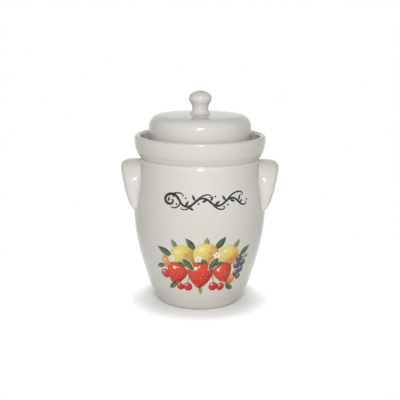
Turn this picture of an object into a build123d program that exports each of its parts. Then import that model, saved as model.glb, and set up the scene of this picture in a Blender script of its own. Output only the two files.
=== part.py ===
"""A five litre stoneware crock for fruit in rum, with a water groove round its mouth.

The crock, its two ear handles, the upturned-bowl lid with its knob, and the two half-round stones that
hold the fruit under. Millimetres, +Z up, origin at the middle of the foot, front towards -Y.
"""

import os
from math import atan2, cos, radians, sin, sqrt

from build123d import *

# Crock: the outer line, from the foot up to the corner below the collar
foot_radius = 54.0
belly_radius = 100.0
belly_height = 149.0
shoulder_rise = 71.0
flank_radius_shares = (0.939, 0.54, 0.212)
flank_height_shares = (0.748, 0.25, 0.06)
upper_radius_share, upper_height_share = 0.07, 0.224
shoulder_edge_round = 3.5

# Crock: the ring it stands on
foot_ring_width = 8.5
foot_recess = 1.6
foot_ring_round = 0.6

# Crock: the collar that holds the sealing water, and the step below it
collar_radius = 99.2
collar_wall = 8.8
collar_flare = 11.0
collar_depth = 36.0
collar_radius_share, collar_height_share = 0.735, 0.405
neck_step_width, neck_step_height = 2.0, 3.0
neck_round = 1.6
groove_width = 18.7
groove_depth = 27.5
groove_draft = 2.2
groove_corner_round = 4.0

# Crock: the throat that the lid goes over, and the inside of the wall
throat_wall = 6.5
throat_drop = 6.0
wall_thickness = 8.0
floor_thickness = 10.0
floor_spread = 3.0
floor_corner_round = 14.0
vault_radius_share, vault_height_share = 0.26, 0.67
vault_floor = 8.0
throat_foot_round = 5.0

# Lid: an upturned bowl whose rim stands in the groove
lid_wall = 6.0
lid_throat_gap = 1.1
lid_side_spread = 1.4
lid_rise = 31.4
lid_crown_rise = 3.0
lid_pad_margin = 2.0
lid_shoulder_round = 17.0
lid_rim_round = 1.6
lid_seat_clearance = 0.3
gas_notch_radius = 4.5

# Knob on the lid
knob_radius = 17.25
knob_height = 34.8
knob_cap_rise = 11.5
knob_cheek_share = 0.7
knob_waist_radius = 12.1
knob_waist_height = 8.8
knob_foot_radius = 16.4
knob_neck_share = 0.56

# Ear handles: a horseshoe seen from the side, standing out furthest near its crown
ear_half_width = 37.0
ear_thickness = 15.0
ear_crown_rise = 1.5
ear_height = 73.0
ear_standout = 26.8
ear_standout_drop = 10.0
ear_waist_standout = 8.9
ear_waist_rise = 16.0
ear_joint_round = 4.0
ear_joint_sink = 0.5
ear_root_depth = 3.0
ear_arch_turn_shares = (0.0, 0.125, 0.25, 0.375, 0.5, 0.625, 0.75, 0.875, 1.0)
ear_leg_height_shares = (0.0, 0.04, 0.1, 0.2, 0.4, 0.7)
ear_leg_reach_shares = (0.3, 0.46, 0.58, 0.75, 0.93, 1.0)
ear_leg_sink_shares = (0.45, 0.0, 0.0, 0.0, 0.0, 0.0)
ear_leg_thickness_shares = (0.34, 0.56, 0.76, 0.9, 0.96, 1.0)
ear_joint_crown_share = 0.1
ear_tip_inset_share = 0.4
ear_bulge_share = 0.1
ear_edge_share = 0.25
ear_front_round_share = 0.5
ear_back_round_share = 0.25

# Weight stones: the two halves of a round plate
stone_lift = 20.0
stone_thickness = 16.0
stone_edge_round = 4.0
stone_parting = 1.6
stone_grip_radius = 9.0
stone_seat_clearance = 0.3

# Cutters run past what they cut by this much
overrun = 5.0

# Angles of the ear handles' arch, and how often a search halves its range
quarter_turn, half_turn = 90, 180
search_halvings = 40


def between(low, high, share):
    """The value a share of the way from low to high."""
    return low + (high - low) * share


def point_between(start, end, radius_share, height_share):
    """A point whose radius and height are shares of the way from start to end."""
    return (
        between(start[0], end[0], radius_share),
        between(start[1], end[1], height_share),
    )


def tangent_arcs(points, direction):
    """Draws arcs from point to point, each leaving in the direction in which the last one ended."""
    start = points[0]
    for end in points[1:]:
        arc = TangentArc(start, end, tangent=direction)
        start, direction = end, arc % 1


def round_corners(section, corners):
    """Rounds each corner of a section, given as its place and its radius."""
    for corner_point, corner_round in corners:
        corner = section.vertices().sort_by_distance(corner_point)[0]
        fillet(corner, corner_round)


up, down, outwards = (0, 1), (0, -1), (1, 0)
neck_radius = collar_radius - collar_flare
shoulder_radius = neck_radius + neck_step_width
shoulder_height = belly_height + shoulder_rise
neck_height = shoulder_height + neck_step_height
collar_top_height = neck_height + collar_depth

foot_edge = (foot_radius, 0)
belly_point = (belly_radius, belly_height)
shoulder_point = (shoulder_radius, shoulder_height)
neck_point = (neck_radius, neck_height)
rim_centre_height = collar_top_height - collar_wall / 2
collar_point = (collar_radius, rim_centre_height)
collar_inner_radius = collar_radius - collar_wall
rim_middle_radius = collar_radius - collar_wall / 2
foot_ring_inner_radius = foot_radius - foot_ring_width

# Points of the outside where its arcs meet, belly to foot, belly to shoulder, and collar to neck
flank_points = [
    belly_point,
    *[
        point_between(foot_edge, belly_point, radius_share, height_share)
        for radius_share, height_share in zip(flank_radius_shares, flank_height_shares)
    ],
    foot_edge,
]
upper_points = [
    belly_point,
    point_between(
        belly_point, shoulder_point, upper_radius_share, upper_height_share
    ),
    shoulder_point,
]
collar_points = [
    collar_point,
    point_between(neck_point, collar_point, collar_radius_share, collar_height_share),
    neck_point,
]
outer_corners = [
    (shoulder_point, shoulder_edge_round),
    (neck_point, neck_round),
    ((foot_ring_inner_radius, 0), foot_ring_round),
]


def outer_line():
    """Draws the crock's outside: recess, foot ring, belly, shoulder, collar and the round of its rim."""
    Polyline(
        (0, foot_recess),
        (foot_ring_inner_radius, foot_recess),
        (foot_ring_inner_radius, 0),
        foot_edge,
    )
    tangent_arcs(flank_points, down)
    tangent_arcs(upper_points, up)
    Line(shoulder_point, neck_point)
    tangent_arcs(collar_points, down)
    ThreePointArc(
        collar_point,
        (rim_middle_radius, collar_top_height),
        (collar_inner_radius, rim_centre_height),
    )


# The whole pot as one lump, which the handles are cut to
with BuildPart() as pot_form:
    with BuildSketch(Plane.XZ) as form_section:
        with BuildLine():
            outer_line()
            Polyline(
                (collar_inner_radius, rim_centre_height),
                (0, rim_centre_height),
                (0, foot_recess),
            )
        make_face()
        round_corners(form_section, outer_corners)
    revolve(axis=Axis.Z)

# The inside: belly, vault under the shoulder, throat and water groove
groove_outer_radius = collar_inner_radius - groove_draft
groove_floor_height = collar_top_height - groove_depth
throat_outer_radius = groove_outer_radius - groove_width
throat_radius = throat_outer_radius - throat_wall
throat_top_height = collar_top_height - throat_drop
floor_radius = foot_radius + floor_spread
inner_belly = (belly_radius - wall_thickness, belly_height)
floor_edge = (floor_radius, floor_thickness)
throat_foot = (throat_radius, groove_floor_height - vault_floor)
vault_points = [
    inner_belly,
    point_between(inner_belly, throat_foot, vault_radius_share, vault_height_share),
    throat_foot,
]
throat_middle_radius = throat_radius + throat_wall / 2
throat_centre_height = throat_top_height - throat_wall / 2
inner_corners = [
    ((groove_outer_radius, groove_floor_height), groove_corner_round),
    ((throat_outer_radius, groove_floor_height), groove_corner_round),
    (throat_foot, throat_foot_round),
    (floor_edge, floor_corner_round),
]

with BuildPart() as crock_body:
    with BuildSketch(Plane.XZ) as crock_section:
        with BuildLine():
            outer_line()
            Polyline(
                (collar_inner_radius, rim_centre_height),
                (groove_outer_radius, groove_floor_height),
                (throat_outer_radius, groove_floor_height),
                (throat_outer_radius, throat_centre_height),
            )
            ThreePointArc(
                (throat_outer_radius, throat_centre_height),
                (throat_middle_radius, throat_top_height),
                (throat_radius, throat_centre_height),
            )
            Line((throat_radius, throat_centre_height), throat_foot)
            tangent_arcs(vault_points, up)
            tangent_arcs([inner_belly, floor_edge], down)
            Polyline(floor_edge, (0, floor_thickness), (0, foot_recess))
        make_face()
        round_corners(crock_section, outer_corners + inner_corners)
    revolve(axis=Axis.Z)


def bowl_section(edge_radius, rim_radius, crown_height, corner_round, low):
    """Half section of the upturned bowl, solid down to its open edge, with a flat pad for the knob."""
    shoulder = (edge_radius, crown_height - lid_crown_rise)
    pad_edge = (lid_pad_radius, crown_height)
    with BuildSketch(Plane.XZ) as section:
        with BuildLine():
            TangentArc(pad_edge, shoulder, tangent=outwards)
            Polyline(shoulder, (rim_radius, low), (0, low), (0, crown_height), pad_edge)
        make_face()
        fillet(section.vertices().sort_by_distance(shoulder)[0], corner_round)
    return section.sketch


# Lid
lid_radius = throat_outer_radius + lid_throat_gap + lid_wall
lid_pad_radius = knob_foot_radius + lid_pad_margin
lid_crown_height = collar_top_height + lid_rise
lid_foot_height = groove_floor_height + lid_seat_clearance
lid_foot_radius = lid_radius + lid_side_spread
with BuildPart() as lid:
    add(
        bowl_section(
            lid_radius,
            lid_foot_radius,
            lid_crown_height,
            lid_shoulder_round,
            lid_foot_height,
        )
    )
    revolve(axis=Axis.Z)
    add(
        bowl_section(
            lid_radius - lid_wall,
            lid_foot_radius - lid_wall,
            lid_crown_height - lid_wall,
            lid_shoulder_round - lid_wall,
            lid_foot_height,
        )
    )
    revolve(axis=Axis.Z, mode=Mode.SUBTRACT)
    rim_edges = lid.edges().filter_by_position(
        Axis.Z, lid_foot_height - lid_rim_round, lid_foot_height + lid_rim_round
    )
    fillet(rim_edges.filter_by(GeomType.CIRCLE), lid_rim_round)
    with BuildSketch(Plane.YZ.offset(-lid_foot_radius - overrun)):
        with Locations((0, lid_foot_height)):
            Circle(gas_notch_radius)
    extrude(amount=2 * (lid_foot_radius + overrun), mode=Mode.SUBTRACT)

# Knob, turned and set on the flat pad of the lid
knob_top = (0, lid_crown_height + knob_height)
knob_ball = (knob_radius, knob_top[1] - knob_cap_rise)
knob_waist = (knob_waist_radius, lid_crown_height + knob_waist_height)
knob_foot = (knob_foot_radius, lid_crown_height)
knob_neck = point_between(knob_waist, knob_ball, knob_neck_share, knob_neck_share)
knob_cheek_radius = knob_cap_rise * knob_cheek_share
knob_cap_radius = (
    knob_radius**2 + knob_cap_rise**2 - 2 * knob_radius * knob_cheek_radius
) / (2 * (knob_cap_rise - knob_cheek_radius))
knob_cheek_turn = atan2(knob_cap_radius - knob_cap_rise, knob_radius - knob_cheek_radius)
knob_cheek = (
    knob_cap_radius * cos(knob_cheek_turn),
    knob_top[1] - knob_cap_radius + knob_cap_radius * sin(knob_cheek_turn),
)
with BuildPart() as lid_knob:
    with BuildSketch(Plane.XZ):
        with BuildLine():
            tangent_arcs([knob_waist, knob_foot], down)
            tangent_arcs([knob_waist, knob_neck, knob_ball, knob_cheek, knob_top], up)
            Polyline(knob_top, (0, lid_crown_height), knob_foot)
        make_face()
    revolve(axis=Axis.Z)

# Ear handles: sections along a horseshoe, from one tip over the crown to the other
arch_radius = ear_half_width - ear_thickness / 2
ear_crown_height = shoulder_height + ear_crown_rise
arch_height = ear_crown_height - ear_half_width
ear_tip_height = ear_crown_height - ear_height
leg_length = arch_height - ear_tip_height

with BuildLine() as body_line:
    tangent_arcs(flank_points, down)
    tangent_arcs(upper_points, up)
body_wire = body_line.wires()[0]
body_wire_rises = body_wire.position_at(0).Y < body_wire.position_at(1).Y


def body_radius_at(height):
    """Radius of the body's outside at a height, found by halving; the neck's radius above it."""
    if height >= shoulder_height:
        return neck_radius
    low, high = 0.0, 1.0
    for _ in range(search_halvings):
        middle = (low + high) / 2
        if (body_wire.position_at(middle).Y < height) == body_wire_rises:
            low = middle
        else:
            high = middle
    return body_wire.position_at(low).X


ear_reach_height = ear_crown_height - ear_standout_drop
ear_waist_height = ear_tip_height + ear_waist_rise
ear_reach = body_radius_at(ear_reach_height) + ear_standout
ear_waist_reach = body_radius_at(ear_waist_height) + ear_waist_standout
reach_slope = (ear_reach - ear_waist_reach) / (ear_reach_height - ear_waist_height)


def ear_reach_at(height):
    """How far from the middle the handle stands out at a height, up to its furthest."""
    return ear_reach - reach_slope * max(ear_reach_height - height, 0)


def body_face_at(side, height):
    """Distance in X from the middle plane to the body's surface, at a place in Y and Z."""
    return sqrt(body_radius_at(height) ** 2 - side**2)


def ear_section(
    side, height, turn, thickness_share, reach_share, joint_share, sink_share
):
    """One section: side and height place its middle, turn is 0 on a leg and 90 at the crown."""
    out_y, out_z = -cos(radians(turn)), sin(radians(turn))
    half = ear_thickness / 2 * thickness_share
    front_joint = ear_joint_round * joint_share
    back_joint = ear_joint_round * thickness_share * reach_share
    full_depth = ear_reach_at(height) - body_face_at(side, height)
    sink = full_depth * sink_share

    def face_at(offset):
        return body_face_at(side + out_y * offset, height + out_z * offset) - sink

    surface = face_at(0)
    depth = full_depth * reach_share
    reach = surface + depth
    front, back = face_at(half) + front_joint, face_at(-half) + back_joint
    front_start = (face_at(half + front_joint) - ear_joint_sink, half + front_joint)
    back_start = (face_at(-half - back_joint) - ear_joint_sink, -half - back_joint)
    root = min(front_start[0], back_start[0]) - ear_root_depth
    hip = 1 - sqrt(1 / 2)
    bulge = half * (1 + ear_bulge_share)
    edge = (reach, -half * ear_edge_share)
    section_plane = Plane(
        origin=(0, side, height), x_dir=(1, 0, 0), z_dir=(0, -out_z, out_y)
    )
    with BuildSketch(section_plane) as section:
        with BuildLine():
            ThreePointArc(
                front_start,
                (front - front_joint * (1 - hip), half + front_joint * hip),
                (front, half),
            )
            Bezier(
                (front, half),
                (front + depth * ear_front_round_share, bulge),
                (reach, half),
                edge,
            )
            Bezier(
                edge,
                (reach, -half),
                (reach - depth * ear_back_round_share, -half),
                (back, -half),
            )
            ThreePointArc(
                (back, -half),
                (back - back_joint * (1 - hip), -half - back_joint * hip),
                back_start,
            )
            Polyline(
                back_start, (root, back_start[1]), (root, front_start[1]), front_start
            )
        make_face()
    return section.sketch


def ear_leg_sections(sign):
    """Sections of one leg from its tip up to the arch: sign is 1 for the front leg, -1 for the back."""
    sections = []
    for height_share, reach_share, sink_share, thickness_share in zip(
        ear_leg_height_shares,
        ear_leg_reach_shares,
        ear_leg_sink_shares,
        ear_leg_thickness_shares,
    ):
        inset = ear_thickness / 2 * (1 - thickness_share)
        sections.append(
            ear_section(
                -sign * (arch_radius + inset * ear_tip_inset_share),
                ear_tip_height + leg_length * height_share,
                quarter_turn - quarter_turn * sign,
                thickness_share,
                reach_share,
                thickness_share * reach_share,
                sink_share,
            )
        )
    return sections


ear_sections = ear_leg_sections(1)
for turn_share in ear_arch_turn_shares:
    turn = half_turn * turn_share
    ear_sections.append(
        ear_section(
            -arch_radius * cos(radians(turn)),
            arch_height + arch_radius * sin(radians(turn)),
            turn,
            1,
            1,
            between(1, ear_joint_crown_share, sin(radians(turn))),
            0,
        )
    )
ear_sections += ear_leg_sections(-1)[::-1]

with BuildPart() as right_handle:
    loft(ear_sections)
    add(pot_form.part, mode=Mode.SUBTRACT)

with BuildPart() as left_handle:
    mirror(right_handle.part, about=Plane.YZ)


# The stones lie on the narrowing wall: their lower edge's round all but touches its arc
stone_height = floor_thickness + stone_lift
inside_narrowing = inner_belly[0] - floor_radius
inside_rise = belly_height - floor_thickness
inside_arc_radius = (inside_rise**2 / inside_narrowing + inside_narrowing) / 2
edge_to_arc_centre = inside_arc_radius - stone_edge_round - stone_seat_clearance
edge_below_centre = belly_height - stone_height - stone_edge_round
edge_across = sqrt(edge_to_arc_centre**2 - edge_below_centre**2)
stone_radius = inner_belly[0] - inside_arc_radius + edge_across + stone_edge_round


def weight_stone(side):
    """One half of the round plate: side is -1 for the front half and 1 for the back."""
    with BuildPart() as half_stone:
        with BuildSketch(Plane.XY.offset(stone_height)):
            Circle(stone_radius)
            cutter_side = 2 * (stone_radius + overrun)
            with Locations((0, side * (stone_parting / 2 - cutter_side / 2))):
                Rectangle(cutter_side, cutter_side, mode=Mode.SUBTRACT)
            with Locations((0, side * stone_parting / 2)):
                Circle(stone_grip_radius, mode=Mode.SUBTRACT)
        extrude(amount=stone_thickness)
        fillet(half_stone.faces().filter_by(Axis.Z).edges(), stone_edge_round)
    return half_stone


front_weight_stone = weight_stone(-1)
back_weight_stone = weight_stone(1)

pieces = {
    "crock_body": crock_body,
    "left_handle": left_handle,
    "right_handle": right_handle,
    "lid": lid,
    "lid_knob": lid_knob,
    "front_weight_stone": front_weight_stone,
    "back_weight_stone": back_weight_stone,
}

os.makedirs("parts", exist_ok=True)
for piece_name, piece in pieces.items():
    piece.part.label = piece_name
    export_step(piece.part, f"parts/{piece_name}.step")
    box = piece.part.bounding_box()
    low, high = [round(v, 2) for v in box.min], [round(v, 2) for v in box.max]
    print(piece_name, "solids", len(piece.part.solids()), "valid", piece.part.is_valid)
    print("    volume", round(piece.part.volume), "low", low, "high", high)
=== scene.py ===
# %% [markdown]
# # A stoneware fruit crock
#
# The pot is thrown and turned clay under a cream glaze: the crock, its lid and its knob
# are all round, the two ears are pulled straps, and two bare half-round stones lie
# inside. A printed vine and a printed garland of fruit are fired on the front. First
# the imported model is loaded. It fixes every size and place, so nothing below says where
# the pot is: each piece reads that from the frame.

# %% The frame
from math import cos, degrees, pi, radians, sin

import bmesh
import bpy
from mathutils import Matrix, Vector
from mathutils.bvhtree import BVHTree


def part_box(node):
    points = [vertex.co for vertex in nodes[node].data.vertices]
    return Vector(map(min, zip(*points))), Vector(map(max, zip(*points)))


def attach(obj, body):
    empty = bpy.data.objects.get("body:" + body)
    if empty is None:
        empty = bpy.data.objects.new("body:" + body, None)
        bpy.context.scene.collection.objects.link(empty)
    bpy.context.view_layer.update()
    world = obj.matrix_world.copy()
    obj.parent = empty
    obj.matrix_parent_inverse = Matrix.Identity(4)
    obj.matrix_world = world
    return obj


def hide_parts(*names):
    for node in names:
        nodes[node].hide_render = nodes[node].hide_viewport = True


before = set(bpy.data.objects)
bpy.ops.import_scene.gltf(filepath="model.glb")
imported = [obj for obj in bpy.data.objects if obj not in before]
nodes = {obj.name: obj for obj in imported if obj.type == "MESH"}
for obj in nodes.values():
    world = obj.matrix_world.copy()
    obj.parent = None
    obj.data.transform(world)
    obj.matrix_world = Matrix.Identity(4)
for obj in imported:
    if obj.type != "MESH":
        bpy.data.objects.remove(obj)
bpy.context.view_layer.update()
mm = 0.001
print("nodes:", ", ".join(sorted(nodes)))

# %% [markdown]
# ## From a section to a round piece
#
# Round pots are best made as a potter makes them, by turning one line round the middle.
# The line is already in the frame: cutting a merged copy of the solid's mesh along a
# plane through its axis leaves just that line. It is cut on the right-hand side, where
# the solid has its own vertices on the plane, so the line is exact.

# %% Cut the section line
upward = Vector((0, 0, 1))
rightward = Vector((1, 0, 0))
backward = Vector((0, 1, 0))
weld_gap = 0.002 * mm
touch_gap = 0.001 * mm
line_gap = 0.05 * mm


def section_line(node):
    """The node's outline in the right half of the XZ plane, as edges alone."""
    line = bmesh.new()
    line.from_mesh(nodes[node].data)
    bmesh.ops.remove_doubles(line, verts=line.verts, dist=weld_gap)
    for normal, clears_both in ((rightward, False), (backward, True)):
        everything = line.verts[:] + line.edges[:] + line.faces[:]
        bmesh.ops.bisect_plane(
            line,
            geom=everything,
            dist=touch_gap,
            plane_co=(0, 0, 0),
            plane_no=normal,
            clear_inner=True,
            clear_outer=clears_both,
        )
    bmesh.ops.remove_doubles(line, verts=line.verts, dist=line_gap)
    print(node, "section:", len(line.verts), "points,", len(line.edges), "edges")
    return line


crock_line = section_line("crock_body")
lid_line = section_line("lid")
knob_line = section_line("lid_knob")

# %% [markdown]
# ## Making the line smooth
#
# The section has straight runs between its points, and gloss shows every one of them.
# One round of this cell puts a point in the middle of each run and then eases each old
# point half way towards its new neighbours, which is the rule of a B-spline. Two rounds
# are enough. A point where the line turns sharply, such as the foot's edge, is a real
# corner and stays.

# %% Smooth the section line
corner_turn = radians(25)


def is_corner(point):
    """Whether the line ends here or turns too sharply to be part of a curve."""
    if len(point.link_edges) != 2:
        return True
    one, other = [edge.other_vert(point).co - point.co for edge in point.link_edges]
    return one.angle(-other) > corner_turn


def smooth_line(line, rounds=2, finest=0.35 * mm):
    """Refines the line in place, then merges points closer than the finest run."""
    for _ in range(rounds):
        made = bmesh.ops.subdivide_edges(line, edges=line.edges[:], cuts=1)
        middles = set(made["geom_inner"])
        old_points = [point for point in line.verts if point not in middles]
        bmesh.ops.smooth_vert(
            line,
            verts=[point for point in old_points if not is_corner(point)],
            factor=0.5,
            use_axis_x=True,
            use_axis_y=True,
            use_axis_z=True,
        )
    bmesh.ops.remove_doubles(line, verts=line.verts, dist=finest)
    print("smoothed to", len(line.verts), "points")


smooth_line(crock_line, finest=0.6 * mm)
smooth_line(lid_line)
smooth_line(knob_line, finest=0.2 * mm)

# %% [markdown]
# ## The lid's rim
#
# The real lid has two small notches in its hidden rim that let gas out, and the section
# was cut through one of them. So the rim's lowest points are moved back down to the
# foot before the line is turned. The notches are cut again afterwards with a round bar,
# as the potter does with a wet finger.

# %% Bring the rim down to the foot
lid_low, lid_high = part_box("lid")
rim_points = sorted(lid_line.verts, key=lambda point: point.co.z)
notch_roof = rim_points[0].co.z
drop = notch_roof - lid_low.z
rim_band = notch_roof + 0.3 * mm
low_points = [point for point in lid_line.verts if point.co.z < rim_band]
bmesh.ops.translate(lid_line, verts=low_points, vec=(0, 0, -drop))
print("notch was", round(drop / mm, 2), "mm high")
print(len(low_points), "points moved down")

# %% [markdown]
# ## Turning
#
# A spin of the line round the vertical axis makes the wall. The points on the axis fall
# together, so they are merged into one, and the normals are turned outwards. Edges that
# are truly sharp stay sharp, and all the rest shade smoothly.

# %% Turn the line into a pot
sharp_turn = radians(38)


def soft_shading(mesh_in_work):
    """Shades all faces smoothly and keeps the real edges crisp."""
    for face in mesh_in_work.faces:
        face.smooth = True
    for edge in mesh_in_work.edges:
        edge.smooth = edge.calc_face_angle(0) < sharp_turn


def put_in_scene(name, data):
    """Makes an object of a mesh, a lamp or a camera, and links it to the scene."""
    thing = bpy.data.objects.new(name, data)
    bpy.context.scene.collection.objects.link(thing)
    return thing


def put_mesh(name, mesh_in_work):
    """Makes an object of a mesh in work."""
    mesh = bpy.data.meshes.new(name)
    mesh_in_work.to_mesh(mesh)
    return put_in_scene(name, mesh)


def show(name, mesh_in_work, body):
    """Makes an object of the finished mesh and lets it ride on a body of the frame."""
    piece = put_mesh(name, mesh_in_work)
    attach(piece, body)
    triangles = sum(len(face.verts) - 2 for face in mesh_in_work.faces)
    print(name, "has", triangles, "triangles")
    return piece


def turn_line(line, steps):
    """Spins the line once round the vertical axis and closes its poles."""
    bmesh.ops.spin(
        line,
        geom=line.verts[:] + line.edges[:],
        cent=(0, 0, 0),
        axis=upward,
        dvec=(0, 0, 0),
        angle=2 * pi,
        steps=steps,
        use_merge=True,
        use_duplicate=False,
    )
    bmesh.ops.remove_doubles(line, verts=line.verts, dist=touch_gap)
    bmesh.ops.recalc_face_normals(line, faces=line.faces)
    soft_shading(line)
    open_edges = sum(not edge.is_manifold for edge in line.edges)
    print("turned", len(line.faces), "faces, open edges:", open_edges)


wide_steps, knob_steps = 176, 112
turn_line(crock_line, wide_steps)
turn_line(lid_line, wide_steps)
turn_line(knob_line, knob_steps)

crock = show("thrown_crock", crock_line, "crock")
lid = show("thrown_lid", lid_line, "lid")
knob = show("turned_knob", knob_line, "lid")
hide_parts("crock_body")
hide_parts("lid")
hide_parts("lid_knob")

# %% [markdown]
# ## The gas notches
#
# A bar across the rim, taken away with a Boolean modifier, leaves a notch on each side.
# The result is kept as a plain mesh, so that the bar itself can go.

# %% Cut the notches
bar_solid = bmesh.new()
bar_length = 2.2 * lid_high.x
bmesh.ops.create_cone(
    bar_solid,
    cap_ends=True,
    segments=32,
    radius1=drop,
    radius2=drop,
    depth=bar_length,
    matrix=Matrix.Translation((0, 0, lid_low.z)) @ Matrix.Rotation(pi / 2, 4, "Y"),
)
bar = put_mesh("notch_bar", bar_solid)
cut = lid.modifiers.new("notches", "BOOLEAN")
cut.operation = "DIFFERENCE"
cut.solver = "EXACT"
cut.object = bar
bpy.context.view_layer.update()
notched = bpy.data.meshes.new_from_object(
    lid.evaluated_get(bpy.context.evaluated_depsgraph_get())
)
lid.modifiers.clear()
lid.data = notched
bpy.data.objects.remove(bar)
print("lid has", len(notched.polygons), "faces with its notches")

# %% [markdown]
# ## The ears and the stones
#
# An ear is no round thing, so its surface is taken as it is: a merged copy of the
# solid's mesh, shaded smoothly. The stones are taken over in the same way, with their
# crisp rims.


# %% Carry over the ears and stones
def carried_over(name, node, body):
    """A merged, smoothly shaded copy of a node's mesh, which stands for the node."""
    copy = bmesh.new()
    copy.from_mesh(nodes[node].data)
    bmesh.ops.remove_doubles(copy, verts=copy.verts, dist=weld_gap)
    soft_shading(copy)
    piece = show(name, copy, body)
    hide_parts(node)
    return piece


left_ear = carried_over("left_ear", "left_handle", "crock")
right_ear = carried_over("right_ear", "right_handle", "crock")
front_stone = carried_over(
    "front_stone", "front_weight_stone", "front_stone"
)
back_stone = carried_over(
    "back_stone", "back_weight_stone", "back_stone"
)

# %% [markdown]
# ## A small language for finishes
#
# A finish is a sum of many small effects. Written as nodes it is a wide net of boxes,
# and written as Python sums it can be read. `Strand` holds one output of a node and
# knows the usual signs, so that `1 - cloud * 0.2` adds its Math nodes by itself.
# `Finish` makes a material and adds any other node.

# %% Sums of sockets
MATHS = "ShaderNodeMath"


class Strand:
    """One output of a node. Sums on it add Math nodes to the same finish."""

    def __init__(self, finish, socket):
        self.finish, self.socket = finish, socket

    def sum_with(self, operation, first, second):
        return self.finish.node(MATHS, {"operation": operation}, {0: first, 1: second})

    def __add__(self, other):
        return self.sum_with("ADD", self, other)

    def __radd__(self, other):
        return self.sum_with("ADD", other, self)

    def __sub__(self, other):
        return self.sum_with("SUBTRACT", self, other)

    def __rsub__(self, other):
        return self.sum_with("SUBTRACT", other, self)

    def __mul__(self, other):
        return self.sum_with("MULTIPLY", self, other)

    def __rmul__(self, other):
        return self.sum_with("MULTIPLY", other, self)

    def __pow__(self, other):
        return self.sum_with("POWER", self, other)


def tint(red, green, blue):
    """A colour as it looks on a screen, from 0 to 255 each, turned into light."""
    shares = [channel / 255 for channel in (red, green, blue)]
    return tuple(
        share / 12.92 if share < 0.04045 else ((share + 0.055) / 1.055) ** 2.4
        for share in shares
    ) + (1.0,)


print("a mid grey gives", round(tint(128, 128, 128)[0], 3), "of the light back")


# %% One method for any node
class Finish:
    """A net of nodes under construction, of a new material or of a world."""

    def __init__(self, name, world=None):
        self.material = None if world else bpy.data.materials.new(name)
        owner = world or self.material
        owner.use_nodes = True
        self.tree = owner.node_tree
        self.shader = self.tree.nodes["Background" if world else "Principled BSDF"]

    def node(self, kind, settings=None, sockets=None, output=0):
        """Adds a node: its settings first, then the values or links of its sockets."""
        added = self.tree.nodes.new(kind)
        for setting, value in (settings or {}).items():
            if setting == "stops":
                self.set_stops(added.color_ramp, value)
            else:
                setattr(added, setting, value)
        for socket, value in (sockets or {}).items():
            self.feed(added.inputs[socket], value)
        return Strand(self, added.outputs[output])

    def set_stops(self, ramp, stops):
        """Gives a colour ramp its stops, each a place and a colour."""
        while len(ramp.elements) < len(stops):
            ramp.elements.new(1)
        for element, (place, colour) in zip(ramp.elements, stops):
            element.position, element.color = place, colour

    def feed(self, socket, value):
        """Links a strand to a socket, or sets the socket to a plain value."""
        if isinstance(value, Strand):
            self.tree.links.new(value.socket, socket)
        else:
            socket.default_value = value

    def surface(self, **sockets):
        """Feeds the shader itself, by the names of its sockets."""
        for name, value in sockets.items():
            self.feed(self.shader.inputs[name.replace("_", " ")], value)


print("a shader is fed by the names of its sockets, such as Base_Color")

# %% [markdown]
# ## Words that every finish uses
#
# A few effects come back in each finish: the place on the piece, a function of one
# value, a cloud of noise, a soft step from one value to another, a mix of two colours,
# and grains. They are written once.


# %% Places, clouds, steps, mixes and grains
def own_place(finish):
    """The piece's own Object coordinates, in metres."""
    return finish.node("ShaderNodeTexCoord", output="Object")


def bent(finish, operation, value):
    """A value through a function of one number, such as SINE."""
    return finish.node(MATHS, {"operation": operation}, {0: value})


def larger(finish, first, second):
    """The larger of two values."""
    return finish.node(MATHS, {"operation": "MAXIMUM"}, {0: first, 1: second})


def cloud(finish, place, scale, detail=2.0, roughness=0.5):
    """Soft noise between 0 and 1; scale is how many blobs fit in a metre."""
    return finish.node(
        "ShaderNodeTexNoise",
        {"noise_dimensions": "3D"},
        {"Vector": place, "Scale": scale, "Detail": detail, "Roughness": roughness},
    )


def step(finish, value, low, high):
    """0 below low, 1 above high, and an S-curve in between."""
    return finish.node(
        "ShaderNodeMapRange",
        {"interpolation_type": "SMOOTHSTEP"},
        {"Value": value, "From Min": low, "From Max": high},
    )


def fall(finish, value, low, high):
    """1 below low and 0 above high."""
    return 1 - step(finish, value, low, high)


def mixed(finish, share, first, second):
    """The first colour where the share is 0 and the second where it is 1."""
    return finish.node(
        "ShaderNodeMix",
        {"data_type": "RGBA"},
        {0: share, 6: first, 7: second},
        output=2,
    )


def grains(finish, place, scale, size, share):
    """Round grains, 1 inside: cells per metre, size, and share of cells with one."""
    cell = {"Vector": place, "Scale": scale}
    distance = finish.node("ShaderNodeTexVoronoi", None, cell, "Distance")
    colour = finish.node("ShaderNodeTexVoronoi", None, cell, "Color")
    chance = finish.node("ShaderNodeSeparateColor", None, {0: colour})
    chosen = step(finish, chance, 1 - share, 1 - share + 0.02)
    return fall(finish, distance, size * 0.6, size) * chosen


def bumped(finish, height):
    """A normal that follows a height, given in metres."""
    return finish.node("ShaderNodeBump", None, {"Height": height, "Distance": 1.0})


print("each finish reads the piece's own Object coordinates")
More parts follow.
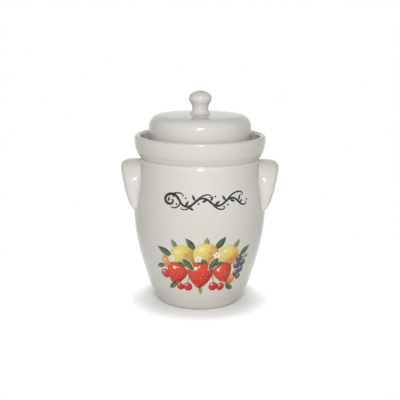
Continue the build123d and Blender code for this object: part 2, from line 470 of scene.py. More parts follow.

# %% [markdown]
# ## The cream glaze
#
# A tin-white glaze over buff stoneware is never one flat colour. It is a little warmer
# where it ran thin over an edge, and it drifts slowly over the belly. In the neck crease,
# the groove's corner, round the knob on the lid, and in the knob's waist and foot it is
# painted darker and cooler: partly glaze that gathered there, partly painted shade. Here
# and there a grain of iron shows through. Its skin is glossy but not a mirror: it keeps
# the finest orange peel and the faint rings of the throwing. Where a piece stands on
# something, the glaze is wiped off and the bare clay shows.

# %% Glaze
cream = tint(219, 217, 209)
cream_warm = tint(218, 213, 201)
cream_cool = tint(216, 216, 209)
# darker, cooler glaze for creases and corners: partly gathered glaze, partly painted
# shade
glaze_pool_and_shade = tint(202, 200, 190)
thin_glaze = tint(203, 190, 167)
iron_speck = tint(150, 128, 100)
bare_clay = tint(196, 172, 138)
dark_clay = tint(160, 132, 100)
peel_height, ring_height, wave_height = 0.006 * mm, 0.006 * mm, 0.14 * mm
ring_turns, ring_drift = 520, 9
grain_height = 0.3 * mm
ragged_width, bare_edge = 1.2 * mm, 0.2 * mm


def band(finish, value, centre, half_width):
    """1 at the centre, falling to 0 at half a width on either side."""
    distance = bent(finish, "ABSOLUTE", value - centre)
    return fall(finish, distance, half_width * 0.2, half_width)


def glaze(name, edges=(), pools_and_shade=(), bare_below=None):
    """The cream glaze; each edge and each pool is a height and a half width in metres.
    A pool paints the glaze darker and cooler: partly gathered glaze, partly painted
    shade.
    """
    finish = Finish(name)
    place = own_place(finish)
    height = finish.node("ShaderNodeSeparateXYZ", None, {0: place}, output="Z")
    drift = cloud(finish, place, 11, detail=3)
    mottle = cloud(finish, place, 95, detail=4, roughness=0.6)

    colour = mixed(finish, step(finish, drift, 0.42, 0.75) * 0.7, cream, cream_warm)
    colour = mixed(finish, step(finish, mottle, 0.45, 0.8) * 0.7, colour, cream_cool)
    for centre, half_width in edges:
        worn = band(finish, height, centre, half_width) * (0.04 + mottle * 0.2)
        colour = mixed(finish, worn, colour, thin_glaze)
    # each pool paints the glaze darker: painted shade, which also stands for gathered
    # glaze
    for centre, half_width in pools_and_shade:
        pool_and_shade_share = band(finish, height, centre, half_width) * 0.35
        colour = mixed(finish, pool_and_shade_share, colour, glaze_pool_and_shade)
    specks = grains(finish, place, scale=120, size=0.045, share=0.16)
    colour = mixed(finish, specks * 0.75, colour, iron_speck)

    peel = cloud(finish, place, 420, detail=2)
    rings = bent(finish, "SINE", height * ring_turns + drift * ring_drift)
    waves = cloud(finish, place, 26, detail=1)
    relief = peel * peel_height + rings * ring_height + waves * wave_height
    gloss = 0.09 + drift * 0.03 + mottle * 0.02

    if bare_below is not None:
        ragged = bare_below + (mottle - 0.5) * ragged_width
        bare = fall(finish, height - ragged, -bare_edge, bare_edge)
        clay_grain = cloud(finish, place, 900, detail=3, roughness=0.7)
        sandy = step(finish, clay_grain, 0.3, 0.7)
        clay = mixed(finish, sandy, dark_clay, bare_clay)
        colour = mixed(finish, bare, colour, clay)
        gloss = gloss + bare * 0.6
        relief = relief + bare * clay_grain * grain_height
    finish.surface(Base_Color=colour, Roughness=gloss, Normal=bumped(finish, relief))
    finish.surface(IOR=1.45)
    print(name, "uses", len(finish.tree.nodes), "nodes")
    return finish.material


_, crock_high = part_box("crock_body")
knob_low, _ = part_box("lid_knob")
rim = crock_high.z
neck_crease = rim - 35.4 * mm
groove_corner = rim - 27 * mm
# the neck crease and the groove's corner are painted darker: painted shade and gathered
# glaze
crock_glaze = glaze(
    "cream_glaze_on_crock",
    edges=((rim, 4 * mm), (1 * mm, 5 * mm)),
    pools_and_shade=((neck_crease, 1.6 * mm), (groove_corner, 4 * mm)),
    bare_below=1.1 * mm,
)
# the lid's top round the knob is painted darker: painted shade and gathered glaze
lid_glaze = glaze(
    "cream_glaze_on_lid",
    pools_and_shade=((lid_high.z + 0.5 * mm, 1.2 * mm),),
    bare_below=lid_low.z + 2.2 * mm,
)
# the knob's waist and foot are painted darker: painted shade and gathered glaze
knob_glaze = glaze(
    "cream_glaze_on_knob",
    edges=((knob_low.z + 1.4 * mm, 1.8 * mm),),
    pools_and_shade=((knob_low.z + 8.5 * mm, 4 * mm), (knob_low.z, 0.9 * mm)),
)
ear_glaze = glaze("cream_glaze_on_ears")
crock.data.materials.append(crock_glaze)
lid.data.materials.clear()
lid.data.materials.append(lid_glaze)
knob.data.materials.append(knob_glaze)
left_ear.data.materials.append(ear_glaze)
right_ear.data.materials.append(ear_glaze)

# %% [markdown]
# ## The bare stones
#
# The weight stones go into the fire without glaze, so that nothing chips into the
# fruit. Bare stoneware is matt and sandy, with dark and light grains and warmer patches
# where the flame licked it.

# %% Bare stoneware
stone_finish = Finish("bare_stoneware_grain")
place = own_place(stone_finish)
patches = cloud(stone_finish, place, 30, detail=3)
sand = cloud(stone_finish, place, 1100, detail=3, roughness=0.7)
stone_colour = mixed(
    stone_finish,
    step(stone_finish, patches, 0.35, 0.7),
    tint(202, 184, 154),
    tint(184, 156, 122),
)
stone_colour = mixed(
    stone_finish,
    step(stone_finish, sand, 0.45, 0.75) * 0.5,
    stone_colour,
    tint(150, 122, 92),
)
dark_grains = grains(stone_finish, place, scale=420, size=0.22, share=0.2)
pale_grains = grains(stone_finish, place, scale=560, size=0.2, share=0.12)
stone_colour = mixed(stone_finish, dark_grains * 0.8, stone_colour, tint(96, 74, 56))
stone_colour = mixed(stone_finish, pale_grains * 0.7, stone_colour, tint(226, 214, 190))
stone_height = sand * (0.3 * mm) + dark_grains * (0.1 * mm) + patches * (0.4 * mm)
stone_finish.surface(
    Base_Color=stone_colour,
    Roughness=0.82 + sand * 0.12,
    Normal=bumped(stone_finish, stone_height),
)
for stone in (front_stone, back_stone):
    stone.data.materials.append(stone_finish.material)
print("stones finished with", len(stone_finish.tree.nodes), "nodes")

# %% [markdown]
# ## A drawing board for the prints
#
# The prints are thin films that are fired on. Each shape is made flat on a drawing
# board that stands in the XZ plane, with its own thickness towards the viewer, and is
# then wrapped on the crock: its place across becomes a turn round the pot, and a ray
# towards the axis finds the glaze. A film reaches a little way into the glaze, so it
# can't float, and each layer of a print is a hair higher than the last.

# %% Wrap a flat film on the crock
crock_tree = BVHTree.FromBMesh(crock_line)
board_radius = crock_high.x
film_depth = 0.05 * mm
first_layer, layer_step = 0.12 * mm, 0.05 * mm
film_bulge = 0.02 * mm
back_side = 0.0001 * mm


def wrap_on_crock(film):
    """Lays a film from the drawing board on the crock's glaze."""
    for point in film.verts:
        turn = point.co.x / board_radius
        outward = Vector((sin(turn), -cos(turn), 0))
        start = outward * 2 * board_radius + upward * point.co.z
        touch, normal, _, _ = crock_tree.ray_cast(start, -outward)
        point.co = touch - normal * point.co.y


def lift_film(film, layer):
    """Sets a film's height: its front on a layer, its back down in the glaze."""
    deepest = max(abs(point.co.y) for point in film.verts)
    front = first_layer + layer * layer_step
    for point in film.verts:
        if point.co.y > back_side:
            point.co.y = film_depth
        else:
            point.co.y = -front + point.co.y / deepest * film_bulge


print("one film layer is", round(layer_step / mm, 3), "mm above the last")

# %% [markdown]
# ## Shapes on the board
#
# Every printed shape starts as a round film: a ball pressed flat. Its UV map is taken
# while it is still round, so paint that follows the map follows the shape, whatever the
# shape becomes. A leaf is a round film whose ends are drawn to a point, and a
# strawberry one that narrows downwards.


# %% Round films and their variants
film_rows = 14
full_round, small_round, tiny_round = 32, 20, 16


def round_shape(across, up):
    """A fruit that is as round as its film."""
    return across, up


def leaf_shape(across, up):
    """Pointed at both ends, with a slight curve along its length."""
    return across, up * (1.001 - across * across) ** 0.75 + 0.12 * across * across


def berry_shape(across, up):
    """Broad shoulders and a narrow tip, as a strawberry has."""
    width = 0.44 + 0.56 * min(1, max(0, (up + 1.05) / 1.35)) ** 0.62
    return across * width, up - 0.08 * (1 - across * across) * (up > 0.5)


def motif(film, shape, centre, size, turn, layer, segments=full_round):
    """Adds one shape to a film: centre and half sizes in mm, turn in degrees."""
    blank = bmesh.new()
    paint = blank.loops.layers.uv.new("paint")
    bmesh.ops.create_uvsphere(
        blank,
        u_segments=segments,
        v_segments=film_rows,
        radius=1,
        matrix=Matrix.Rotation(pi / 2, 4, "X"),
    )
    for face in blank.faces:
        face.smooth = True
        for loop in face.loops:
            loop[paint].uv = (loop.vert.co.x / 2 + 0.5, loop.vert.co.z / 2 + 0.5)
    for point in blank.verts:
        point.co.x, point.co.z = shape(point.co.x, point.co.z)
    bmesh.ops.scale(blank, verts=blank.verts, vec=(size[0] * mm, 1, size[1] * mm))
    bmesh.ops.rotate(
        blank, verts=blank.verts, matrix=Matrix.Rotation(-radians(turn), 3, "Y")
    )
    lift_film(blank, layer)
    bmesh.ops.translate(
        blank, verts=blank.verts, vec=(centre[0] * mm, 0, centre[1] * mm)
    )
    step_mesh = bpy.data.meshes.new("motif")
    blank.to_mesh(step_mesh)
    film.from_mesh(step_mesh)
    bpy.data.meshes.remove(step_mesh)


def new_film():
    """An empty film that carries the paint's UV map."""
    film = bmesh.new()
    film.loops.layers.uv.new("paint")
    return film


def fire_on(name, film, finish):
    """Wraps a finished film on the crock, and gives it its paint."""
    wrap_on_crock(film)
    bmesh.ops.recalc_face_normals(film, faces=film.faces)
    piece = show(name, film, "crock")
    piece.data.materials.append(finish.material)


print("shapes: round, leaf and berry")

# %% [markdown]
# ## Brush strokes
#
# The vine above the fruit is drawn with a broad nib, so each stroke swells and thins. A
# NURBS curve with a radius at each point does that: its tube is pressed flat into a
# film.


# %% A stroke of the nib
def stroke(film, points, layer=0):
    """Adds a stroke through points, each across, up and half width in millimetres."""
    curve = bpy.data.curves.new("stroke", "CURVE")
    curve.dimensions = "3D"
    curve.resolution_u = 6
    curve.bevel_depth = mm
    curve.bevel_resolution = 2
    curve.use_fill_caps = True
    spline = curve.splines.new("NURBS")
    spline.points.add(len(points) - 1)
    for place, (across, up, half_width) in zip(spline.points, points):
        place.co = (across * mm, 0, up * mm, 1)
        place.radius = half_width
    spline.order_u = 4
    spline.use_endpoint_u = True
    drawn = bpy.data.objects.new("stroke", curve)
    tube = bpy.data.meshes.new_from_object(drawn)
    ribbon = new_film()
    ribbon.from_mesh(tube)
    bmesh.ops.remove_doubles(ribbon, verts=ribbon.verts, dist=touch_gap)
    for face in ribbon.faces:
        face.smooth = True
    lift_film(ribbon, layer)
    ribbon.to_mesh(tube)
    film.from_mesh(tube)
    bpy.data.objects.remove(drawn)
    bpy.data.curves.remove(curve)
    bpy.data.meshes.remove(tube)


print("a stroke is as wide as its points say")

# %% [markdown]
# ## The vine
#
# A running vine in near-black: one long wave from left to right that starts in a wide
# curl, small curls out of each bend, and leaves and berries between them. The ink is
# fired under a thin flux, so it is nearly as glossy as the glaze, and it is a little
# browner where it lies thin.

# %% Draw the vine
ink_finish = Finish("black_print")
place = own_place(ink_finish)
ink_cloud = cloud(ink_finish, place, 160, detail=3)
ink_grain = cloud(ink_finish, place, 1500, detail=2)
ink_finish.surface(
    Base_Color=mixed(
        ink_finish,
        step(ink_finish, ink_cloud * 0.7 + ink_grain * 0.3, 0.4, 0.75),
        tint(22, 22, 25),
        tint(44, 41, 42),
    ),
    Roughness=0.2 + ink_grain * 0.12,
    Normal=bumped(ink_finish, ink_grain * (0.04 * mm)),
)

vine_centre = (8.6, 174.4)
vine_stretch = (1.11, 0.9)


def on_vine(across, up):
    """A place of the vine's plan on the drawing board."""
    return (
        vine_centre[0] + across * vine_stretch[0],
        vine_centre[1] + up * vine_stretch[1],
    )


vine_strokes = [
    # the long wave, out of the first curl
    [
        (-46.5, 1, 0.4), (-44, 3.2, 0.9), (-42.5, -1, 1.1), (-46.5, -5.6, 1.3),
        (-53, -4.4, 1.5), (-56.5, 2.5, 1.6), (-53, 10, 1.6), (-44, 12.4, 1.5),
        (-36.5, 6.5, 1.5), (-33, -3, 1.3), (-27, -8.8, 1.1), (-19, -7, 1.2),
        (-13.5, 0, 1.4), (-7.5, 6, 1.2), (0.5, 6, 1.1), (6.5, 0, 1.3),
        (12.5, -6.6, 1.2), (20.5, -6.8, 1.1), (27, -0.5, 1.3), (33, 5.4, 1.2),
        (41, 5, 1.1), (46.5, -1.5, 1.2), (51.5, -7.6, 1), (57.5, -8.6, 0.8),
        (61, -5, 0.5), (58.8, -2.6, 0.3),
    ],
    # small curls out of the bends
    [
        (-33.5, -1, 0.8), (-35, -8, 0.9), (-40.5, -11.6, 0.8), (-46, -10.6, 0.6),
        (-46.5, -8.2, 0.3),
    ],
    [
        (-18, -6, 0.9), (-23, -12.4, 0.8), (-30, -13.6, 0.7), (-33.6, -11, 0.5),
        (-31.6, -8.8, 0.3),
    ],
    [
        (-11, 3, 0.9), (-4.5, 10, 0.9), (3, 12.6, 0.8), (8.6, 10, 0.6), (7.4, 6.2, 0.5),
        (4.2, 7.6, 0.3),
    ],
    [
        (9.5, -3.5, 0.9), (15, -11.2, 0.9), (22, -13.2, 0.8), (27.4, -10.4, 0.6),
        (26, -6.8, 0.5), (23, -8.4, 0.3),
    ],
    [
        (29.5, 2.4, 0.9), (36, 10.4, 1), (44, 14.2, 0.9), (52, 14, 0.8), (56, 10, 0.6),
        (53.6, 7, 0.5), (50.6, 9, 0.3),
    ],
    [
        (-44, 12, 0.9), (-37, 14.4, 0.8), (-31, 12.6, 0.7), (-28.6, 9, 0.5),
        (-30.8, 7, 0.3),
    ],
]
vine_leaves = [
    ((-24.5, -3.2), (5.4, 1.9), 58),
    ((-18.5, -11.2), (4.6, 1.7), -28),
    ((-15.6, 6.2), (5.4, 1.9), -62),
    ((-1, 1.6), (4.8, 1.8), 24),
    ((8.6, 5.2), (4.6, 1.7), 62),
    ((16, -1.8), (5.2, 1.9), 38),
    ((25.4, 5.2), (5.4, 1.9), -58),
    ((37.6, 0.6), (4.8, 1.8), -20),
    ((48.6, 4.2), (4.8, 1.7), 64),
    ((50.5, -2), (4.4, 1.6), 40),
    ((-50, 2.6), (4.2, 1.7), 70),
]
vine_berries = [
    (-43.4, 7.4), (-38.6, -4.4), (-26.4, 5.6), (-9, -3), (13.2, 8.6), (30.6, -5.6),
    (61.5, -0.2),
]
nib_share = 1.3
berry_size = (1.4, 1.4)
vine = new_film()
for points in vine_strokes:
    nib_points = [
        (*on_vine(across, up), nib_share * width) for across, up, width in points
    ]
    stroke(vine, nib_points)
for (across, up), size, turn in vine_leaves:
    spot = on_vine(across, up)
    motif(vine, leaf_shape, spot, size, turn, 1, small_round)
for across, up in vine_berries:
    spot = on_vine(across, up)
    motif(vine, round_shape, spot, berry_size, 0, 1, tiny_round)
fire_on("vine_print", vine, ink_finish)

# %% [markdown]
# ## Printed paint
#
# The fruit was drawn by hand for the printer, with its own light from the upper left.
# So this paint works out a little ball from the UV map, finds how it would be lit, and
# picks the colour by that. It is flat colour under gloss: the pot's own highlight still
# runs across it.


# %% Paint for fruit and leaves
print_height = 0.03 * mm
gleam_tint = tint(250, 240, 228)


def sprite(finish):
    """Where a point lies on its own shape, across and up, from -1 to 1."""
    mapped = finish.node("ShaderNodeUVMap", {"uv_map": "paint"})
    parts = {0: mapped}
    across = finish.node("ShaderNodeSeparateXYZ", None, parts, output="X")
    up = finish.node("ShaderNodeSeparateXYZ", None, parts, output="Y")
    return across * 2 - 1, up * 2 - 1


def spot_of_light(finish, across, up, centre, inner, outer):
    """1 near a place on the shape."""
    away = (across - centre[0]) ** 2 + (up - centre[1]) ** 2
    return fall(finish, away, inner**2, outer**2)


def fruit_paint(name, stops, blush=None, seeds=None, lights=1.0):
    """Paint for a round fruit: stops run from its shaded side to its lit side."""
    finish = Finish(name)
    across, up = sprite(finish)
    place = own_place(finish)
    blotch = cloud(finish, place, 130, detail=3)
    streaks = cloud(finish, place, 420, detail=3)
    off_middle = across * across + up * up
    bulge = fall(finish, off_middle, 0, 1)
    lit = 0.5 - across * 0.26 + up * 0.3 + bulge * 0.22 + (blotch - 0.5) * 0.35
    colour = finish.node("ShaderNodeValToRGB", {"stops": stops}, {0: lit})
    if blush:
        side = step(finish, blotch * 0.9 + across * 0.3 - up * 0.2, 0.35, 0.75)
        colour = mixed(finish, side * (0.4 + streaks * 0.8), colour, blush)
    if seeds:
        mapped = finish.node("ShaderNodeUVMap", {"uv_map": "paint"})
        seed = grains(finish, mapped, scale=8, size=0.2, share=0.95)
        colour = mixed(finish, seed * 0.85, colour, seeds)
    rim_shade = step(finish, off_middle, 0.78, 1)
    colour = mixed(finish, rim_shade * 0.45, colour, stops[0][1])
    gleam = spot_of_light(finish, across, up, (-0.36, 0.42), 0.1, 0.2)
    glint = spot_of_light(finish, across, up, (-0.1, 0.56), 0.04, 0.1)
    white = (gleam + glint) * lights
    colour = mixed(finish, white, colour, gleam_tint)
    finish.surface(
        Base_Color=colour,
        Roughness=0.17 + streaks * 0.1,
        Normal=bumped(finish, streaks * print_height),
    )
    return finish


def leaf_paint(name, dark, body, pale):
    """Paint for a leaf: pale midrib and veins, and one half darker than the other."""
    finish = Finish(name)
    across, up = sprite(finish)
    place = own_place(finish)
    blotch = cloud(finish, place, 160, detail=3)
    half = step(finish, up + (blotch - 0.5) * 0.7, -0.15, 0.25)
    colour = mixed(finish, half, dark, body)
    colour = mixed(finish, step(finish, blotch, 0.5, 0.75) * 0.6, colour, pale)
    distance = bent(finish, "ABSOLUTE", up)
    wave = bent(finish, "SINE", across * 14 - distance * 10)
    vein = step(finish, wave, 0.82, 1) * 0.5
    midrib = fall(finish, distance, 0.03, 0.09)
    lines = larger(finish, vein, midrib)
    colour = mixed(finish, lines * 0.75, colour, pale)
    finish.surface(
        Base_Color=colour,
        Roughness=0.18 + blotch * 0.08,
        Normal=bumped(finish, blotch * print_height),
    )
    return finish


red_stops = [
    (0.1, tint(112, 8, 6)),
    (0.45, tint(196, 24, 10)),
    (0.95, tint(236, 62, 22)),
]
cherry_stops = [
    (0.1, tint(108, 2, 10)),
    (0.5, tint(196, 8, 20)),
    (0.95, tint(232, 42, 40)),
]
gold_stops = [
    (0.05, tint(176, 140, 62)),
    (0.45, tint(212, 188, 84)),
    (0.9, tint(232, 216, 120)),
]
plum_stops = [
    (0.1, tint(16, 16, 26)),
    (0.5, tint(44, 42, 58)),
    (0.95, tint(104, 104, 126)),
]
orange_stops = [
    (0.1, tint(150, 72, 34)),
    (0.5, tint(204, 118, 54)),
    (0.95, tint(232, 164, 88)),
]
strawberry_paint = fruit_paint("strawberry_print", red_stops, seeds=tint(236, 190, 90))
cherry_paint = fruit_paint("cherry_print", cherry_stops)
mirabelle_blush = tint(202, 112, 70)
mirabelle_paint = fruit_paint(
    "mirabelle_print", gold_stops, mirabelle_blush, lights=0.5
)
grape_paint = fruit_paint("grape_print", plum_stops, lights=0.8)
kumquat_paint = fruit_paint("kumquat_print", orange_stops, lights=0.5)
dark_leaf_paint = leaf_paint(
    "dark_leaf_print", tint(24, 52, 34), tint(46, 88, 52), tint(140, 166, 104)
)
pale_leaf_paint = leaf_paint(
    "pale_leaf_print", tint(84, 110, 60), tint(128, 152, 84), tint(190, 200, 130)
)
petal_paint = leaf_paint(
    "petal_print", tint(226, 206, 196), tint(240, 232, 222), tint(250, 246, 238)
)
print("the leaf paint has", len(dark_leaf_paint.tree.nodes), "nodes")

# %% [markdown]
# ## The garland
#
# Strawberries, cherries, mirabelles, grapes, kumquats, leaves and white blossom, laid
# as a garland that is widest in the middle. It is planned as a list from back to front:
# the kind, its place, its half sizes, its turn and its layer. Under it all lies a cream
# ground a little larger than each shape, which is the pale outline that such prints
# have.

# %% Plan the garland
MIRABELLE, STRAWBERRY, CHERRY, GRAPE, KUMQUAT = range(5)
garland = [
    (MIRABELLE, (-25, 96), (18, 18.5), 12, 2),
    (MIRABELLE, (41, 95), (17.5, 18), -14, 2),
    (MIRABELLE, (8, 100), (18.5, 18.5), 0, 3),
    (GRAPE, (62, 88), (6, 6.2), 0, 3),
    (GRAPE, (70, 80), (6, 6), 0, 3),
    (GRAPE, (59, 77), (6.2, 6.4), 0, 4),
    (GRAPE, (68, 69), (6, 6.2), 0, 4),
    (GRAPE, (60, 63), (5.8, 6), 0, 5),
    (GRAPE, (66, 57), (5.2, 5.4), 0, 5),
    (KUMQUAT, (-49, 84), (9.5, 12), 32, 3),
    (KUMQUAT, (51, 54), (8, 10.5), -48, 4),
    (STRAWBERRY, (-37, 66), (17, 20.5), -24, 5),
    (STRAWBERRY, (36, 68), (16, 19), 22, 5),
    (STRAWBERRY, (0, 66), (21, 24.5), -4, 6),
    (CHERRY, (-57, 63), (8, 7.8), 0, 4),
    (CHERRY, (-20, 43.5), (7.6, 7.4), 0, 7),
    (CHERRY, (22, 44), (7.8, 7.4), 0, 7),
    (CHERRY, (35, 42.5), (7, 6.8), 0, 6),
    (CHERRY, (-33, 43), (6.4, 6.2), 0, 6),
]
dark_leaves = [
    ((-52, 101), (15, 5.6), 148, 1),
    ((-13, 116), (13, 4.8), 122, 1),
    ((28, 117), (14, 5), 54, 1),
    ((70, 100), (13, 5), 40, 1),
    ((-63, 76), (9, 4), 200, 2),
    ((20, 84), (13.5, 5.2), 58, 8),
    ((-18, 83), (13, 5), 128, 8),
    ((52, 40), (11, 4.4), -32, 3),
    ((-46, 43), (10, 4), 212, 3),
]
pale_leaves = [
    ((9, 119.5), (9, 3.8), 88, 1),
    ((-37, 115), (10, 4), 112, 1),
    ((53, 113), (10, 4), 58, 1),
    ((74, 90), (8, 3.4), 12, 1),
    ((1, 37.5), (8.5, 3.4), -84, 3),
]
blossoms = [(-3, 92), (24, 98), (-43, 90)]
outline = 1.1
garland_spread = (1.09, 1, 0.93)
plan_middle = Vector((0, 0, 78 * mm))
garland_middle = Vector((1.6 * mm, 0, 75.6 * mm))


def fire_garland(name, film, finish):
    """Spreads a film of the plan to its real width, moves it and fires it on."""
    bmesh.ops.translate(film, verts=film.verts, vec=-plan_middle)
    bmesh.ops.scale(film, verts=film.verts, vec=garland_spread)
    bmesh.ops.translate(film, verts=film.verts, vec=garland_middle)
    fire_on(name, film, finish)


print(len(garland), "fruits and", len(dark_leaves) + len(pale_leaves), "leaves")

# %% Lay out the garland
kinds = [
    ("mirabelles_print", round_shape, mirabelle_paint),
    ("strawberries_print", berry_shape, strawberry_paint),
    ("cherries_print", round_shape, cherry_paint),
    ("grapes_print", round_shape, grape_paint),
    ("kumquats_print", round_shape, kumquat_paint),
]
ground = new_film()
films = [new_film() for _ in kinds]
for kind, centre, size, turn, layer in garland:
    shape = kinds[kind][1]
    wider = (size[0] + outline, size[1] + outline)
    motif(films[kind], shape, centre, size, turn, layer)
    motif(ground, shape, centre, wider, turn, 0)
dark_leaf_film, pale_leaf_film = new_film(), new_film()
for film, leaves in ((dark_leaf_film, dark_leaves), (pale_leaf_film, pale_leaves)):
    for centre, size, turn, layer in leaves:
        wider = (size[0] + outline, size[1] + outline)
        motif(film, leaf_shape, centre, size, turn, layer)
        motif(ground, leaf_shape, centre, wider, turn, max(layer - 1, 0))
for (name, _, finish), film in zip(kinds, films):
    fire_garland(name, film, finish)
print("under them lies a ground that is", outline, "mm wider")

# %% [markdown]
# ## Caps, stalks and blossom
#
# A strawberry wears a green cap of five small leaves, cherries hang on long thin
# stalks, and each blossom is five round petals about a yellow heart.

# %% Small parts of the garland
strawberries = [entry for entry in garland if entry[0] == STRAWBERRY]
cap_spreads = (-74, -38, 0, 38, 74)
cap_height_share, cap_leaf_share, cap_slimness = 0.86, 0.3, 0.36
cap_step_across, cap_step_up, cap_drop = 0.7, 0.35, 1.2
for _, centre, size, lean, layer in strawberries:
    up_the_fruit = size[1] * cap_height_share
    top = (
        centre[0] - sin(radians(lean)) * up_the_fruit,
        centre[1] + cos(radians(lean)) * up_the_fruit,
    )
    reach = size[0] * cap_leaf_share
    cap_size = (reach, reach * cap_slimness)
    for spread in cap_spreads:
        turn = lean + 90 + spread
        spot = (
            top[0] + cos(radians(turn)) * reach * cap_step_across,
            top[1] + sin(radians(turn)) * reach * cap_step_up - cap_drop,
        )
        motif(
            dark_leaf_film, leaf_shape, spot, cap_size, turn, layer + 2, small_round
        )
fire_garland("dark_leaves_print", dark_leaf_film, dark_leaf_paint)
fire_garland("pale_leaves_print", pale_leaf_film, pale_leaf_paint)

stalk_strokes = [
    [(-20, 50, 0.5), (-19, 58, 0.45), (-12, 68, 0.45), (-9, 79, 0.6)],
    [(22, 50, 0.5), (21, 60, 0.45), (17, 69, 0.45), (15, 79, 0.6)],
    [(35, 48, 0.5), (31, 58, 0.45), (22, 68, 0.45), (15, 79, 0.6)],
    [(-33, 48, 0.5), (-29, 58, 0.45), (-18, 68, 0.45), (-9, 79, 0.6)],
]
stalk_layer, petal_layer, heart_layer = 9, 9, 12
stalks = new_film()
for points in stalk_strokes:
    stroke(stalks, points, stalk_layer)
stalk_finish = Finish("stalk_print")
place = own_place(stalk_finish)
stalk_cloud = cloud(stalk_finish, place, 300, detail=2)
stalk_finish.surface(
    Base_Color=mixed(stalk_finish, stalk_cloud, tint(92, 96, 44), tint(74, 52, 34)),
    Roughness=0.2 + stalk_cloud * 0.1,
)
fire_garland("stalks_print", stalks, stalk_finish)

petals, hearts = new_film(), new_film()
petal_count, petal_reach = 5, 3.1
petal_size, heart_size = (2.9, 2.5), (1.6, 1.6)
for across, up in blossoms:
    for number in range(petal_count):
        way = radians(90 + 360 / petal_count * number)
        spot = (across + cos(way) * petal_reach, up + sin(way) * petal_reach)
        turn, layer = degrees(way), petal_layer + number % 2
        motif(petals, round_shape, spot, petal_size, turn, layer, small_round)
    motif(hearts, round_shape, (across, up), heart_size, 0, heart_layer, tiny_round)
fire_garland("blossom_print", petals, petal_paint)
heart_paint = fruit_paint("blossom_heart_print", gold_stops, lights=0.2)
fire_garland("blossom_hearts_print", hearts, heart_paint)

ground_finish = Finish("print_ground")
place = own_place(ground_finish)
ground_cloud = cloud(ground_finish, place, 90, detail=3)
pale_ground, warm_ground = tint(236, 228, 204), tint(226, 208, 176)
ground_finish.surface(
    Base_Color=mixed(ground_finish, ground_cloud, pale_ground, warm_ground),
    Roughness=0.18 + ground_cloud * 0.06,
)
fire_garland("print_ground", ground, ground_finish)

# %% [markdown]
# ## The floor
#
# The pot stands on pale paper that reaches to the horizon. Close to the pot the camera
# sees real paper in the lamps' light, so it keeps the pot's own soft shadow. The paper's
# glow of its own is faint by the foot and grows to white between six and sixteen
# centimetres from the axis: a painted shadow round the foot, on top of the real one.
# Within half a metre the paper fades into a plain white glow. For light that only bounces
# off it, the floor is ordinary paper, so the white background puts no light on the pot.

# %% Floor
paper, black, white = tint(235, 236, 236), (0, 0, 0, 1), (1, 1, 1, 1)
# the floor's glow is faint by the pot and white further out: a painted shadow round the
# foot
painted_shadow_glow = tint(100, 100, 100)
painted_shadow_reach = (0.06, 0.16)
paper_fades = (0.15, 0.45)


def seen_share(finish):
    """1 for rays from the camera, a mirror or glass, and 0 for all other rays."""
    share = 0
    for kind in ("Is Camera Ray", "Is Glossy Ray", "Is Transmission Ray"):
        share = larger(finish, share, finish.node("ShaderNodeLightPath", output=kind))
    return share


floor_mesh = bmesh.new()
bmesh.ops.create_grid(floor_mesh, x_segments=1, y_segments=1, size=30)
floor = put_mesh("floor", floor_mesh)
floor_finish = Finish("floor_paper")
seen = seen_share(floor_finish)
length_of = {"operation": "LENGTH"}
place = {0: own_place(floor_finish)}
distance = floor_finish.node("ShaderNodeVectorMath", length_of, place, "Value")
# 0 by the pot and 1 further out, where the painted shadow ends
painted_shadow_fade = step(floor_finish, distance, *painted_shadow_reach)
fade_share = step(floor_finish, distance, *paper_fades)
seen_paper = mixed(floor_finish, fade_share, paper, black)
# the glow the camera sees, with the painted shadow by the foot
glow_with_painted_shadow = mixed(floor_finish, painted_shadow_fade, painted_shadow_glow, white)
floor_finish.surface(
    Base_Color=mixed(floor_finish, seen, paper, seen_paper),
    Roughness=1.0,
    Specular_IOR_Level=0.0,
    Emission_Color=mixed(floor_finish, seen, black, glow_with_painted_shadow),
    Emission_Strength=1.0,
)
floor.data.materials.append(floor_finish.material)
print("floor is", round(floor.dimensions.x), "metres wide")

# %% [markdown]
# ## The room
#
# The room is white where the camera looks, and where a mirror or glass shows it. For
# everything else it is a dim grey, so that the lamps set how bright the pot is, and the
# white background doesn't.

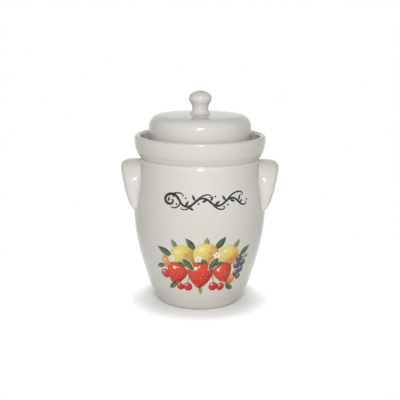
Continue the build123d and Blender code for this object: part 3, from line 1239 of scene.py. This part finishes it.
# %% World
world = bpy.data.worlds.new("studio")
bpy.context.scene.world = world
room = Finish("studio", world)
dim_room = (0.16, 0.158, 0.155, 1)
room.surface(Color=mixed(room, seen_share(room), dim_room, white))
print("the room has", len(room.tree.nodes), "nodes")

# %% [markdown]
# ## The lamps
#
# A small lamp in front and above makes the bright spots on the lid, the rim, the knob
# and the ears. Two wide lamps, one in front and one behind, fill the rest softly. They
# are kept out of reflections, because two large white squares on the glaze would hide
# the pot's form.

# %% Lamps
def lamp(name, place, aim, size, watts):
    """A soft square lamp that looks from its place at its aim."""
    light = bpy.data.lights.new(name, "AREA")
    light.shape = "RECTANGLE"
    light.size, light.size_y = size
    light.energy = watts
    stand = put_in_scene(name, light)
    stand.location = place
    way = Vector(aim) - Vector(place)
    stand.rotation_euler = way.to_track_quat("-Z", "Y").to_euler()
    print(name, "at", [round(v, 2) for v in place], "with", watts, "watts")
    return stand


pot_middle = (0, 0, 0.17)
key_rise, key_far = radians(27), 2.4
key_place = (0, -key_far * cos(key_rise), pot_middle[2] + key_far * sin(key_rise))
soft_size = (2.6, 1.6)
lamp("key_lamp", key_place, pot_middle, size=(0.4, 0.4), watts=25)
front_fill = lamp("front_fill", (0, -3.2, 0.9), pot_middle, soft_size, watts=31)
back_fill = lamp("back_fill", (0, 3.2, 1.1), pot_middle, soft_size, watts=28)
for soft_lamp in (front_fill, back_fill):
    soft_lamp.visible_glossy = False

# %% [markdown]
# ## The camera
#
# The view was worked out from the pot's own outline in the photograph: a long lens one
# and a half metres away, looking a little down, and tilted by less than half a degree.

# %% Camera
camera_data = bpy.data.cameras.new("camera")
camera_data.sensor_fit = "HORIZONTAL"
camera_data.sensor_width = 36
camera_data.lens = 89.97
camera_data.clip_start = 0.05
camera = put_in_scene("camera", camera_data)
camera_place = (0.0006, -1.5, 0.462)
look_down, lean = radians(11.47), radians(0.42)
camera.matrix_world = (
    Matrix.Translation(camera_place)
    @ Matrix.Rotation(pi / 2 - look_down, 4, "X")
    @ Matrix.Rotation(lean, 4, "Z")
)
bpy.context.scene.camera = camera
bpy.context.scene.view_settings.view_transform = "Standard"
print("camera at", camera_place)
